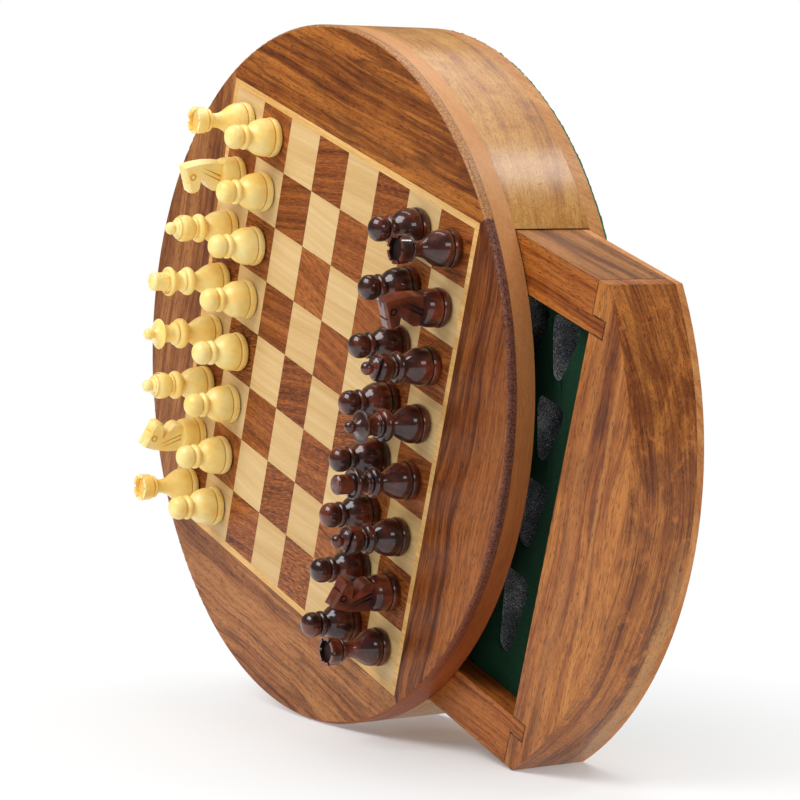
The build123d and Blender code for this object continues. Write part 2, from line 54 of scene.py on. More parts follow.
def srgb(red, green, blue):
    """A colour seen on screen, 0 to 255, as the linear colour that a shader takes."""
    parts = []
    for value in (red, green, blue):
        share = value / 255
        parts.append(share / 12.92 if share <= 0.04045 else ((share + 0.055) / 1.055) ** 2.4)
    return (*parts, 1.0)


class Material:
    """A node material, with short calls for what the woods, felts and foam here share."""

    def __init__(self, name):
        self.material = bpy.data.materials.new(name)
        self.material.use_nodes = True
        self.nodes = self.material.node_tree.nodes
        self.shader = self.nodes["Principled BSDF"]

    def link(self, output, socket):
        self.material.node_tree.links.new(output, socket)

    def feed(self, socket, value):
        """Set a socket to a number, a tuple or another node's output."""
        if isinstance(value, bpy.types.NodeSocket):
            self.link(value, socket)
        else:
            socket.default_value = value

    def node(self, kind, inputs=(), **settings):
        made = self.nodes.new(kind)
        for key, value in settings.items():
            setattr(made, key, value)
        for key, value in dict(inputs).items():
            self.feed(made.inputs[key], value)
        return made

    def maths(self, operation, first, second=0.0):
        return self.node("ShaderNodeMath", {0: first, 1: second}, operation=operation).outputs[0]

    def vectors(self, operation, first, second):
        return self.node("ShaderNodeVectorMath", {0: first, 1: second}, operation=operation).outputs[0]

    def mix(self, factor, first, second):
        """Two colours mixed: the second colour alone where the factor is 1."""
        inputs = {"Factor": factor, 6: first, 7: second}
        return self.node("ShaderNodeMix", inputs, data_type="RGBA", clamp_factor=True).outputs[2]

    def ramp(self, factor, stops):
        made = self.node("ShaderNodeValToRGB", {"Fac": factor})
        elements = made.color_ramp.elements
        while len(elements) < len(stops):
            elements.new(0.5)
        for element, (place, colour) in zip(elements, stops):
            element.position = place
            element.color = colour
        return made.outputs["Color"]

    def span(self, value, low, high, new_low=0.0, new_high=1.0):
        """Stretch low..high to new_low..new_high, and hold it within them."""
        inputs = {"Value": value, 1: low, 2: high, 3: new_low, 4: new_high}
        return self.node("ShaderNodeMapRange", inputs, clamp=True).outputs[0]

    def scaled(self, vector, scale, location=(0, 0, 0), rotation=(0, 0, 0)):
        inputs = {"Vector": vector, "Location": location, "Rotation": rotation, "Scale": scale}
        return self.node("ShaderNodeMapping", inputs).outputs[0]

    def noise(self, vector, scale, detail=2.0, rough=0.5, distortion=0.0):
        inputs = {
            "Vector": vector,
            "Scale": scale,
            "Detail": detail,
            "Roughness": rough,
            "Distortion": distortion,
        }
        return self.node("ShaderNodeTexNoise", inputs).outputs["Fac"]

    def place(self):
        """The point on the piece, in millimetres of the piece's own frame."""
        point = self.node("ShaderNodeTexCoord").outputs["Object"]
        return self.scaled(point, (1000, 1000, 1000))

    def bump(self, height, distance, strength=1.0):
        inputs = {"Height": height, "Distance": distance, "Strength": strength}
        self.link(self.node("ShaderNodeBump", inputs).outputs[0], self.shader.inputs["Normal"])

    def finish(self, colour, rough, coat=0.0, coat_rough=0.2, sheen=0.0, specular=0.18):
        self.feed(self.shader.inputs["Base Color"], colour)
        self.feed(self.shader.inputs["Roughness"], rough)
        self.shader.inputs["Specular IOR Level"].default_value = specular
        self.shader.inputs["Coat Weight"].default_value = coat
        self.shader.inputs["Coat Roughness"].default_value = coat_rough
        self.shader.inputs["Sheen Weight"].default_value = sheen
        return self.material


GRAIN_TURN = {"X": (0, 0, 0), "Y": (0, 0, -math.pi / 2), "Z": (0, math.pi / 2, 0)}


def wave(m, point, scale, size):
    """A smooth swing about zero, for bending the grain."""
    swing = m.maths("SUBTRACT", m.noise(m.scaled(point, scale), 1.0, 2.0), 0.5)
    return m.maths("MULTIPLY", swing, size)


def grain_layers(m, point, lay, bend, broad):
    """Values of a wood whose grain runs along X and whose growth layers lie at an angle.

    Returns broad bands, fine streaks, hair-fine fibres, short pores and a cross figure."""
    leaned = m.scaled(point, (1, 1, 1), rotation=(math.radians(lay), 0, 0))
    shift = m.maths(
        "ADD",
        wave(m, leaned, (0.011, 0.012, 0.006), bend),
        wave(m, leaned, (0.04, 0.05, 0.02), bend * 0.15),
    )
    push = m.node("ShaderNodeCombineXYZ", {"Y": shift}).outputs[0]
    bent = m.vectors("ADD", leaned, push)
    bands = m.noise(m.scaled(bent, (0.0045, 1 / broad, 0.018)), 1.0, 3.0, 0.6)
    streaks = m.noise(m.scaled(bent, (0.012, 0.75, 0.10)), 1.0, 4.0, 0.7)
    fibres = m.noise(m.scaled(bent, (0.06, 3.0, 1.0)), 1.0, 3.0, 0.7)
    pores = m.noise(m.scaled(bent, (0.38, 3.2, 2.6)), 1.0, 1.0)
    figure = m.noise(m.scaled(bent, (0.14, 0.09, 0.09)), 1.0, 3.0, 0.6, 0.6)
    return bands, streaks, fibres, pores, figure


LEAF_THICK = 2.45


def rim_colours(m, point, colour, bands, fibres, lamina, speck):
    """The slab's turned edge: the face's speckled leaf on a plainer band.

    The band is paler towards the rim's north, partly its own tone and partly painted light on the top
    side, and the leaf clearer there."""
    axes = m.node("ShaderNodeSeparateXYZ", {0: point})
    flat = m.node("ShaderNodeCombineXYZ", {"X": axes.outputs["X"], "Y": axes.outputs["Y"]})
    radius = m.node("ShaderNodeVectorMath", {0: flat.outputs[0]}, operation="LENGTH")
    edge = m.span(radius.outputs["Value"], disc_radius / MM - 0.9, disc_radius / MM - 0.6)
    height = axes.outputs["Y"]
    tone = m.maths("ADD", m.maths("MULTIPLY", bands, 0.4), m.maths("MULTIPLY", fibres, 0.6))
    tone = m.span(tone, 0.36, 0.64)
    low = m.mix(tone, RIM_DEEP_SHADED[0], RIM_DEEP_SHADED[1])
    high = m.mix(tone, RIM_PALE_LIT[0], RIM_PALE_LIT[1])
    # Paler towards the north and deeper towards the south: partly the band's own tone and partly
    # painted light, lighter on the top side where the light falls
    band = m.mix(m.span(height, -50.0, 92.0), low, high)
    grit = m.noise(point, 1.5, 3.0, 0.75)
    leaf = m.mix(m.span(grit, 0.42, 0.56), speck, lamina)
    leaf = m.mix(m.span(height, -70.0, -10.0, 0.75, 0.0), leaf, low)
    wander = m.maths("MULTIPLY", m.noise(m.scaled(point, (0.05, 0.05, 0)), 1.0, 2.0), 0.8)
    depth = m.maths("ADD", axes.outputs["Z"], wander)
    leaf_line = board_top / MM - LEAF_THICK
    upper = m.span(depth, leaf_line - 0.05, leaf_line + 0.15)
    edge_colour = m.mix(upper, band, leaf)
    seam = m.maths("ABSOLUTE", m.maths("SUBTRACT", depth, leaf_line))
    edge_colour = m.mix(m.span(seam, 0.2, 0.05, 0.0, 0.5), edge_colour, ARRIS)
    return m.mix(edge, colour, edge_colour)


def wood(
    name,
    along,
    stops,
    pore_colour,
    seed=0.0,
    lay=30.0,
    bend=7.0,
    broad=8.0,
    streak_share=0.46,
    figure_share=0.10,
    ink_share=0.0,
    pore_share=0.6,
    fibre_share=0.45,
    rough=0.42,
    coat=0.08,
    rim=None,
    extra=None,
):
    """Lacquered wood. along is the grain's axis, and stops run from dark streaks to light wood.

    The shares say how strongly each layer of the grain shows. rim holds the two colours of the
    slab's leaf at its edge, and extra adds marks of the piece's own."""
    m = Material(name)
    point = m.place()
    turned = m.scaled(point, (1, 1, 1), (seed * 37.0, seed * 53.0, seed * 29.0), GRAIN_TURN[along])
    bands, streaks, fibres, pores, figure = grain_layers(m, turned, lay, bend, broad)
    tone = m.maths(
        "ADD",
        m.maths("MULTIPLY", m.span(bands, 0.32, 0.68), 1 - streak_share - figure_share),
        m.maths("MULTIPLY", m.span(streaks, 0.34, 0.66), streak_share),
    )
    tone = m.maths("ADD", tone, m.maths("MULTIPLY", m.span(figure, 0.3, 0.7), figure_share))
    colour = m.ramp(tone, stops)
    if ink_share:
        # Thin dark lines where one growth layer ends
        off = m.maths("ABSOLUTE", m.maths("SUBTRACT", bands, 0.5))
        colour = m.mix(m.span(off, 0.0, 0.022, ink_share, 0.0), colour, pore_colour)
    colour = m.mix(m.span(fibres, 0.46, 0.66, 0.0, fibre_share), colour, stops[0][1])
    colour = m.mix(m.span(fibres, 0.46, 0.32, 0.0, fibre_share * 0.6), colour, stops[2][1])
    if extra:
        colour = extra(m, point, colour, streaks, fibres)
    pore_mask = m.span(pores, 0.59, 0.66, 0.0, pore_share)
    colour = m.mix(pore_mask, colour, pore_colour)
    if rim:
        colour = rim_colours(m, point, colour, bands, fibres, *rim)
    height = m.maths("SUBTRACT", m.maths("MULTIPLY", fibres, 0.4), pore_mask)
    m.bump(height, 0.05 * MM, 0.6)
    return m.finish(colour, m.span(fibres, 0.3, 0.7, rough - 0.05, rough + 0.08), coat, 0.22)


def squares_wood(name, stops, pore_colour, fleck, tilt, pore_share, own_tone, rough, coat):
    """Veneer squares: each one is its own leaf, turned and toned a little differently."""
    m = Material(name)
    point = m.place()
    cell = m.node(
        "ShaderNodeVectorMath",
        {0: m.scaled(point, (1 / SQUARE, 1 / SQUARE, 0)), 1: (1, 1, 1)},
        operation="FLOOR",
    ).outputs[0]
    chance = m.node("ShaderNodeTexWhiteNoise", {"Vector": cell})
    shades = m.node("ShaderNodeSeparateXYZ", {0: chance.outputs["Color"]})
    angle = m.maths("MULTIPLY", m.maths("SUBTRACT", chance.outputs["Value"], 0.5), tilt)
    spread = m.vectors("ADD", point, m.scaled(chance.outputs["Color"], (400, 400, 400)))
    turned = m.node(
        "ShaderNodeVectorRotate", {"Vector": spread, "Angle": angle}, rotation_type="Z_AXIS"
    ).outputs[0]
    bands, streaks, fibres, pores, figure = grain_layers(m, turned, 25.0, 5.0, 3.5)
    tone = m.maths(
        "ADD",
        m.maths("MULTIPLY", m.span(bands, 0.32, 0.68), 0.35),
        m.maths("MULTIPLY", m.span(streaks, 0.34, 0.66), 0.65 - own_tone),
    )
    tone = m.maths("ADD", tone, m.maths("MULTIPLY", shades.outputs["X"], own_tone))
    colour = m.ramp(tone, stops)
    colour = m.mix(m.span(fibres, 0.46, 0.64, 0.0, pore_share * 0.7), colour, stops[0][1])
    strength = m.span(shades.outputs["Y"], 0.0, 1.0, 0.35, 1.0)
    dark = m.maths("MULTIPLY", m.span(pores, 0.55, 0.64, 0.0, pore_share), strength)
    colour = m.mix(dark, colour, pore_colour)
    bright = m.maths("MULTIPLY", m.span(pores, 0.44, 0.36, 0.0, pore_share * 0.8), strength)
    colour = m.mix(bright, colour, fleck)
    m.bump(m.maths("SUBTRACT", fibres, dark), 0.02 * MM, 0.5)
    return m.finish(colour, m.span(fibres, 0.3, 0.7, rough - 0.05, rough + 0.07), coat, 0.25)


def turned_wood(name, stops, stain_and_shade, worn, rough, coat, coat_rough, lumps, recess=0.0):
    """A man's wood: grain up the turning axis, under lacquer that lies a little uneven.

    Painted shade and dye darken the turned grooves, and the finish is rubbed thin on the edges."""
    m = Material(name)
    point = m.place()
    turned = m.scaled(point, (1, 1, 1), (0, 0, 0), GRAIN_TURN["Z"])
    bands, streaks, fibres, pores, figure = grain_layers(m, turned, 20.0, 4.0, 4.0)
    soft = m.noise(point, 0.12, 3.0, 0.6)
    tone = m.maths(
        "ADD",
        m.maths("MULTIPLY", m.span(streaks, 0.3, 0.7), 0.25),
        m.maths("MULTIPLY", m.span(soft, 0.32, 0.68), 0.75),
    )
    colour = m.ramp(tone, stops)
    edge = m.node("ShaderNodeNewGeometry").outputs["Pointiness"]
    # Painted shade with dye: darker where the surface is hollow, in the grooves and cut-in places
    colour = m.mix(m.span(edge, 0.48, 0.40, recess, 0.75), colour, stain_and_shade)
    rubbed = m.maths("MULTIPLY", m.span(edge, 0.53, 0.62, 0.0, 0.7), m.span(soft, 0.35, 0.6, 0.4, 1.0))
    colour = m.mix(rubbed, colour, worn)
    thick = m.noise(point, 0.8, 2.0, 0.6)
    print_through = m.noise(m.scaled(point, (3.0, 3.0, 1.2)), 1.0, 2.0, 0.6)
    m.bump(m.maths("ADD", thick, m.maths("MULTIPLY", print_through, 0.3)), lumps * MM, 1.0)
    return m.finish(colour, rough, coat, coat_rough, specular=0.2)


def felt(name, dark, light, fuzz):
    """Pressed wool felt: matted fibres in many directions, with a soft sheen."""
    m = Material(name)
    point = m.place()
    tuft = m.noise(point, 1.6, 4.0, 0.7, 1.5)
    hairs = m.noise(point, 7.0, 3.0, 0.8, 3.0)
    colour = m.mix(m.span(tuft, 0.35, 0.68), dark, light)
    colour = m.mix(m.span(hairs, 0.5, 0.75, 0.0, 0.45), colour, light)
    m.bump(m.maths("ADD", tuft, hairs), fuzz * MM, 1.0)
    return m.finish(colour, 0.95, sheen=0.05, specular=0.1)


def foam():
    """Charcoal open-cell foam with pale specks on its cut faces."""
    m = Material("charcoal_foam")
    point = m.place()
    cells = m.node("ShaderNodeTexVoronoi", {"Vector": point, "Scale": 1.9, "Randomness": 1.0})
    grit = m.noise(point, 2.6, 4.0, 0.75)
    patch = m.noise(point, 0.12, 2.0, 0.5)
    tone = m.maths("ADD", grit, m.maths("MULTIPLY", m.maths("SUBTRACT", patch, 0.5), 0.25))
    colour = m.ramp(
        tone,
        (
            (0.36, srgb(54, 57, 60)),
            (0.50, srgb(104, 108, 112)),
            (0.58, srgb(150, 154, 158)),
            (0.64, srgb(240, 243, 245)),
        ),
    )
    m.bump(m.maths("ADD", cells.outputs["Distance"], grit), 0.25 * MM, 1.0)
    return m.finish(colour, 0.9)


def plywood():
    """Pale plies edge on, one millimetre and a half each."""
    m = Material("plywood")
    point = m.place()
    axes = m.node("ShaderNodeSeparateXYZ", {0: point})
    ply = m.maths("PINGPONG", axes.outputs["Z"], 1.5)
    fibre = m.noise(m.scaled(point, (0.2, 2.0, 6.0)), 1.0, 3.0, 0.6)
    colour = m.mix(m.span(ply, 0.6, 0.9), srgb(205, 170, 120), srgb(170, 130, 85))
    colour = m.mix(m.span(fibre, 0.4, 0.7, 0.0, 0.4), colour, srgb(140, 100, 62))
    m.bump(fibre, 0.05 * MM)
    return m.finish(colour, 0.7)


def bare_steel():
    m = Material("bare_steel")
    point = m.place()
    brush = m.noise(m.scaled(point, (0.05, 8.0, 8.0)), 1.0, 3.0, 0.6)
    m.shader.inputs["Metallic"].default_value = 1.0
    m.bump(brush, 0.01 * MM)
    colour = m.mix(m.span(brush, 0.3, 0.7), srgb(170, 172, 175), srgb(200, 202, 205))
    return m.finish(colour, m.span(brush, 0.3, 0.7, 0.25, 0.4))


PORE = srgb(50, 22, 10)
ARRIS = srgb(66, 36, 34)
# The rim band's north and south colours, which hold painted light from above as well as the band's own
# tone
RIM_PALE_LIT = (srgb(200, 144, 90), srgb(178, 118, 66))
RIM_DEEP_SHADED = (srgb(164, 84, 38), srgb(128, 58, 24))
PALE_LEAF = (srgb(178, 126, 76), srgb(136, 88, 50))
DARK_LEAF = (srgb(124, 76, 56), srgb(72, 44, 42))
GLUE = srgb(52, 24, 12)

# The drawer's tongue joints, in millimetres
TONGUE_THICK = 5.3
front_low, front_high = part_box("drawer_front")
side_low, side_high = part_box("drawer_side_north")
FRONT_INNER = front_low.x / MM
FRONT_TOP = front_high.z / MM
TONGUE_TIP = side_high.x / MM
TRAY_HALF = side_low.y / MM
SIDE_OUTER = side_high.y / MM
TONGUE_OUTER = TRAY_HALF + TONGUE_THICK


def stops_of(dark, mid, light):
    """Ramp stops for a wood, back to its middle tone past the lightest."""
    return ((0.16, dark), (0.44, mid), (0.70, light), (0.97, mid))


def near(m, value, place, reach):
    """1 where the value is at the place, falling to 0 at the reach from it."""
    return m.span(m.maths("ABSOLUTE", m.maths("SUBTRACT", value, place)), reach, reach * 0.4)


def both(m, first, second):
    """Two masks multiplied."""
    return m.maths("MULTIPLY", first, second)


def glue_lines(m, point, colour):
    """Dark glue in the seams of the drawer's tongue joints."""
    axes = m.node("ShaderNodeSeparateXYZ", {0: point})
    along = axes.outputs["X"]
    across = m.maths("ABSOLUTE", axes.outputs["Y"])
    past = m.maths("LESS_THAN", along, TONGUE_TIP + 0.4)
    beyond = m.maths("GREATER_THAN", along, FRONT_INNER - 0.3)
    in_joint = both(m, past, beyond)
    outer = both(m, near(m, across, TONGUE_OUTER, 0.4), in_joint)
    inner = both(m, near(m, across, TRAY_HALF, 0.4), in_joint)
    outside = m.maths("GREATER_THAN", across, TONGUE_OUTER)
    shoulder = both(m, near(m, along, FRONT_INNER, 0.35), outside)
    within = both(
        m,
        m.maths("LESS_THAN", across, TONGUE_OUTER + 0.3),
        m.maths("GREATER_THAN", across, TRAY_HALF - 0.3),
    )
    tip = both(m, near(m, along, TONGUE_TIP, 0.4), within)
    long_seams = m.maths("MAXIMUM", outer, inner)
    short_seams = m.maths("MAXIMUM", shoulder, tip)
    seams = m.maths("MAXIMUM", long_seams, short_seams)
    broken = m.span(m.noise(point, 0.5, 3.0, 0.6), 0.35, 0.55, 0.35, 0.95)
    return m.mix(both(m, seams, broken), colour, GLUE)


def front_marks(m, point, colour, streaks, fibres):
    """The drawer front: two pale lines along its top, clouds and sapwood on its curve."""
    axes = m.node("ShaderNodeSeparateXYZ", {0: point})
    height = axes.outputs["Z"]
    top = m.span(height, FRONT_TOP - 0.35, FRONT_TOP - 0.1)
    wander = m.noise(m.scaled(point, (0.05, 0.05, 0.3)), 1.0, 3.0, 0.6)
    lean = m.maths("ADD", axes.outputs["X"], m.maths("MULTIPLY", axes.outputs["Y"], 0.055))
    lean = m.maths("ADD", lean, m.maths("MULTIPLY", wander, 4.0))
    line = both(m, near(m, lean, 151.0, 1.3), top)
    colour = m.mix(m.maths("MULTIPLY", line, 0.5), colour, srgb(200, 134, 66))
    soft_line = both(m, near(m, lean, 140.0, 4.0), top)
    colour = m.mix(m.maths("MULTIPLY", soft_line, 0.35), colour, srgb(190, 124, 62))
    level = m.maths("ADD", height, m.maths("MULTIPLY", wander, 7.0))
    low = m.span(axes.outputs["Y"], 12.0, -18.0)
    pale = both(m, m.span(level, 18.5, 16.0), low)
    colour = m.mix(m.maths("MULTIPLY", pale, 0.7), colour, srgb(190, 142, 88))
    ragged = both(m, m.span(fibres, 0.40, 0.60), near(m, level, 19.0, 2.2))
    colour = m.mix(both(m, ragged, m.maths("MULTIPLY", low, 0.8)), colour, srgb(78, 56, 36))
    mottle = m.noise(m.scaled(point, (0.22, 0.09, 0.16)), 1.0, 3.0, 0.6, 0.8)
    middle = both(
        m,
        m.span(axes.outputs["Y"], 2.0, 18.0),
        m.span(axes.outputs["Y"], 66.0, 50.0, 0.25, 1.0),
    )
    curve = m.maths("SUBTRACT", 1.0, top)
    cloud = both(m, both(m, m.span(mottle, 0.46, 0.60), middle), curve)
    colour = m.mix(m.maths("MULTIPLY", cloud, 0.5), colour, srgb(104, 46, 14))
    glow = both(m, m.span(mottle, 0.44, 0.34), curve)
    colour = m.mix(m.maths("MULTIPLY", glow, 0.45), colour, srgb(206, 124, 56))
    return glue_lines(m, point, colour)


def darker_north(m, point, colour, streaks, fibres):
    """Heartwood that darkens towards the segment's north end."""
    axes = m.node("ShaderNodeSeparateXYZ", {0: point})
    return m.mix(m.span(axes.outputs["Y"], -50.0, 85.0, 0.0, 0.5), colour, srgb(84, 36, 14))


def side_streak(m, point, colour, streaks, fibres):
    """Golden wood on the drawer side's outer face, with one dark streak."""
    axes = m.node("ShaderNodeSeparateXYZ", {0: point})
    wander = m.noise(m.scaled(point, (0.02, 0.1, 0.1)), 1.0, 2.0, 0.5)
    level = m.maths("ADD", axes.outputs["Z"], m.maths("MULTIPLY", wander, 9.0))
    level = m.maths("ADD", level, m.maths("MULTIPLY", axes.outputs["X"], 0.10))
    outer = m.span(m.maths("ABSOLUTE", axes.outputs["Y"]), SIDE_OUTER - 1.0, SIDE_OUTER - 0.1)
    golden = m.mix(m.span(streaks, 0.38, 0.62), srgb(112, 68, 32), srgb(158, 106, 54))
    colour = m.mix(m.maths("MULTIPLY", outer, 0.85), colour, golden)
    dark = both(m, near(m, level, 37.0, 2.6), outer)
    colour = m.mix(m.maths("MULTIPLY", dark, 0.6), colour, srgb(84, 42, 18))
    return glue_lines(m, point, colour)


face_north = wood(
    "face_wood_north", "X",
    stops_of(srgb(80, 34, 8), srgb(142, 76, 24), srgb(182, 110, 44)),
    PORE, seed=1.0, lay=62.0, bend=4.0, broad=7.0, ink_share=0.55, rim=PALE_LEAF,
)
face_south = wood(
    "face_wood_south", "X",
    stops_of(srgb(88, 44, 20), srgb(154, 92, 48), srgb(186, 124, 70)),
    PORE, seed=2.0, lay=50.0, bend=9.0, broad=11.0, ink_share=0.5, rim=PALE_LEAF,
)
face_east = wood(
    "face_wood_east", "Y",
    stops_of(srgb(62, 24, 8), srgb(128, 66, 24), srgb(170, 100, 44)),
    PORE, seed=3.0, lay=60.0, bend=12.0, broad=9.0, ink_share=0.6, rim=DARK_LEAF,
    extra=darker_north,
)
face_west = wood(
    "face_wood_west", "Y",
    stops_of(srgb(80, 40, 18), srgb(136, 80, 40), srgb(172, 114, 64)),
    PORE, seed=4.0, lay=70.0, bend=5.0, broad=4.5, rim=PALE_LEAF,
)
block_wood = wood(
    "golden_block_wood", "X",
    stops_of(srgb(136, 84, 30), srgb(178, 120, 50), srgb(198, 146, 72)),
    srgb(104, 60, 26), seed=5.0, lay=102.0, bend=16.0, broad=9.0, streak_share=0.3,
    figure_share=0.3, coat=0.5, rough=0.5,
)
base_wood = wood(
    "base_panel_wood", "X",
    stops_of(srgb(164, 106, 56), srgb(186, 128, 72), srgb(200, 146, 86)),
    srgb(132, 80, 46), seed=6.0, lay=20.0, broad=14.0,
)
front_wood = wood(
    "drawer_front_wood", "Y",
    stops_of(srgb(90, 40, 12), srgb(152, 84, 30), srgb(188, 118, 50)),
    PORE, seed=7.4, lay=76.0, bend=8.0, broad=6.0, figure_share=0.14, ink_share=0.25,
    coat=0.3, extra=front_marks,
)
side_wood = wood(
    "drawer_side_wood", "X",
    stops_of(srgb(80, 32, 10), srgb(144, 74, 24), srgb(180, 106, 44)),
    PORE, seed=8.0, lay=30.0, bend=6.0, broad=8.0, extra=side_streak,
)
back_wood = wood(
    "drawer_back_wood", "Y",
    stops_of(srgb(92, 48, 26), srgb(140, 84, 44), srgb(166, 104, 58)),
    PORE, seed=9.0, lay=35.0,
)
floor_wood = wood(
    "drawer_bottom_wood", "Y",
    stops_of(srgb(166, 102, 52), srgb(190, 126, 70), srgb(206, 146, 88)),
    srgb(126, 76, 42), seed=10.0, lay=30.0, broad=14.0,
)
dark_veneer = squares_wood(
    "dark_veneer",
    (
        (0.12, srgb(84, 36, 12)), (0.4, srgb(134, 68, 26)),
        (0.65, srgb(166, 94, 42)), (0.9, srgb(186, 118, 58)),
    ),
    srgb(46, 18, 8), fleck=srgb(200, 122, 54), tilt=0.7, pore_share=0.75, own_tone=0.25,
    rough=0.42, coat=0.1,
)
light_veneer = squares_wood(
    "light_veneer",
    ((0.12, srgb(198, 158, 100)), (0.5, srgb(212, 177, 122)), (0.9, srgb(222, 193, 144))),
    srgb(180, 136, 82), fleck=srgb(236, 212, 166), tilt=0.2, pore_share=0.12, own_tone=0.3,
    rough=0.45, coat=0.1,
)
border_wood = wood(
    "border_veneer", "X",
    stops_of(srgb(198, 144, 76), srgb(218, 170, 100), srgb(232, 190, 124)),
    srgb(168, 116, 60), seed=11.0, lay=20.0, broad=6.0, pore_share=0.3,
)

WHITE_STOPS = ((0.15, srgb(255, 212, 112)), (0.5, srgb(255, 227, 138)), (0.9, srgb(255, 237, 164)))
# Dye and painted shade, for the grooves and the places cut in
WHITE_STAIN_AND_SHADE = srgb(216, 144, 48)
WHITE_WORN = srgb(255, 236, 176)
BLACK_STOPS = ((0.15, srgb(30, 10, 7)), (0.5, srgb(64, 22, 11)), (0.9, srgb(116, 46, 21)))
# Dye and painted shade, for the grooves and the places cut in
BLACK_STAIN_AND_SHADE = srgb(22, 7, 5)
BLACK_WORN = srgb(138, 60, 30)
white_wood = turned_wood(
    "white_men_wood", WHITE_STOPS, WHITE_STAIN_AND_SHADE, WHITE_WORN,
    rough=0.40, coat=0.7, coat_rough=0.30, lumps=0.03,
)
# Painted shade for the places cut into a man: its wood darkened nearly all over
white_recess_shade = turned_wood(
    "white_men_recess_shade", WHITE_STOPS, WHITE_STAIN_AND_SHADE, WHITE_STAIN_AND_SHADE,
    rough=0.60, coat=0.0, coat_rough=0.3, lumps=0.03, recess=0.6,
)
black_wood = turned_wood(
    "black_men_wood", BLACK_STOPS, BLACK_STAIN_AND_SHADE, BLACK_WORN,
    rough=0.40, coat=1.0, coat_rough=0.035, lumps=0.24,
)
# Painted shade for the places cut into a man: its wood darkened nearly all over
black_recess_shade = turned_wood(
    "black_men_recess_shade", BLACK_STOPS, BLACK_STAIN_AND_SHADE, BLACK_STAIN_AND_SHADE,
    rough=0.60, coat=0.1, coat_rough=0.3, lumps=0.05, recess=0.95,
)
pad_felt = felt("men_felt", srgb(10, 48, 30), srgb(24, 84, 52), 0.10)
base_felt = felt("base_felt", srgb(12, 84, 58), srgb(40, 122, 90), 0.14)
liner_felt = felt("liner_felt", srgb(2, 38, 20), srgb(8, 62, 36), 0.12)
foam_material = foam()
ply_material = plywood()
steel_material = bare_steel()

# The CAD nodes that stay, each with its material
NODE_LOOKS = {
    "face_segment_north": face_north,
    "face_segment_south": face_south,
    "face_segment_east": face_east,
    "face_segment_west": face_west,
    "board_core": ply_material,
    "steel_sheet": steel_material,
    "dark_squares": dark_veneer,
    "light_squares": light_veneer,
    "border_strips": border_wood,
    "side_block_north": block_wood,
    "side_block_south": block_wood,
    "rear_block": block_wood,
    "base_panel": base_wood,
    "drawer_front": front_wood,
    "drawer_side_north": side_wood,
    "drawer_side_south": side_wood,
    "drawer_back": back_wood,
    "drawer_bottom": floor_wood,
}
for node, material in NODE_LOOKS.items():
    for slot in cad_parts[node].material_slots:
        slot.material = material


def new_piece(name, mesh, body, slot_name, *nodes):
    """A shown piece that rides on a body and stands for CAD nodes."""
    piece = bpy.data.objects.new(name, mesh)
    bpy.context.scene.collection.objects.link(piece)
    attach(piece, body)
    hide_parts(*nodes)
    return piece


JOIN_REACH = 0.002 * MM


def copied_mesh(node, name):
    """The node's form as a mesh of its own, with its points joined up."""
    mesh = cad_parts[node].data.copy()
    mesh.name = name
    form = bmesh.new()
    form.from_mesh(mesh)
    bmesh.ops.remove_doubles(form, verts=form.verts, dist=JOIN_REACH)
    form.to_mesh(mesh)
    form.free()
    mesh.attributes.remove(mesh.attributes["custom_normal"])
    return mesh


def shade_by_angle(mesh, degrees):
    """Round shading, kept crisp where two faces meet at more than the angle."""
    mesh.shade_smooth()
    mesh.set_sharp_from_angle(angle=math.radians(degrees))


def ease_edges(piece, width):
    """Round the piece's edges a little, in its mesh."""
    bevel = piece.modifiers.new("eased_edges", "BEVEL")
    bevel.width = width
    bevel.segments = 2
    bevel.limit_method = "ANGLE"
    bevel.angle_limit = math.radians(35)
    graph = bpy.context.evaluated_depsgraph_get()
    mesh = bpy.data.meshes.new_from_object(piece.evaluated_get(graph))
    piece.modifiers.clear()
    piece.data = mesh


# The men: turned wood over a felt pad, with a groove above the foot's ring
PAD_THICK = 0.5 * MM
RING_HEIGHT = 2.2 * MM
GROOVE_HEIGHT = 0.45 * MM
PAD_TOP = board_top + PAD_THICK
RING_TOP = PAD_TOP + RING_HEIGHT
GROOVE_TOP = RING_TOP + GROOVE_HEIGHT

# Heights up a man in millimetres, as packed and as shown, with the share of its girth
SHOWN = {
    "pawn": (
        (0, 0, 1), (3.15, 3.25, 1), (8.9, 10.5, 1), (11.7, 13.0, 1),
        (14.67, 14.9, 0.955), (18.3, 18.3, 0.955),
    ),
    "rook": ((0, 0, 1), (20.65, 20.65, 1)),
    "knight": ((0, 0, 1), (3.15, 3.2, 1), (7.65, 8.4, 1), (22.85, 22.85, 1)),
    "bishop": (
        (0, 0, 1), (3.15, 3.25, 1), (9.85, 11.4, 1), (13.85, 15.3, 1),
        (21.9, 22.2, 1), (25.25, 25.25, 1),
    ),
    "queen": (
        (0, 0, 1), (3.15, 3.25, 1), (11.15, 12.4, 1), (15.05, 16.6, 1), (18.05, 18.9, 1),
        (21.75, 22.2, 1), (23.95, 24.1, 1), (27.55, 27.55, 1),
    ),
    "king": (
        (0, 0, 1), (3.15, 3.25, 1), (11.05, 12.7, 1), (15.05, 16.6, 1), (17.45, 18.1, 1),
        (20.85, 22.0, 1), (27.85, 27.85, 1),
    ),
}

# Where a man is cut hollow, in levels of a tenth of a millimetre up from the board
LEVEL = 0.1 * MM
HOLLOWS = {"rook": (165, 206), "bishop": (142, 212)}
HOLLOW_DEPTH = 0.45 * MM

# The flat sides of a knight's head, and how far its sawn lines lie below them
KNIGHT_HALF = 2.6 * MM
KNIGHT_HEAD_FOOT = 8.0 * MM
SAWN_LEAST = 0.03 * MM
SAWN_MOST = 0.6 * MM


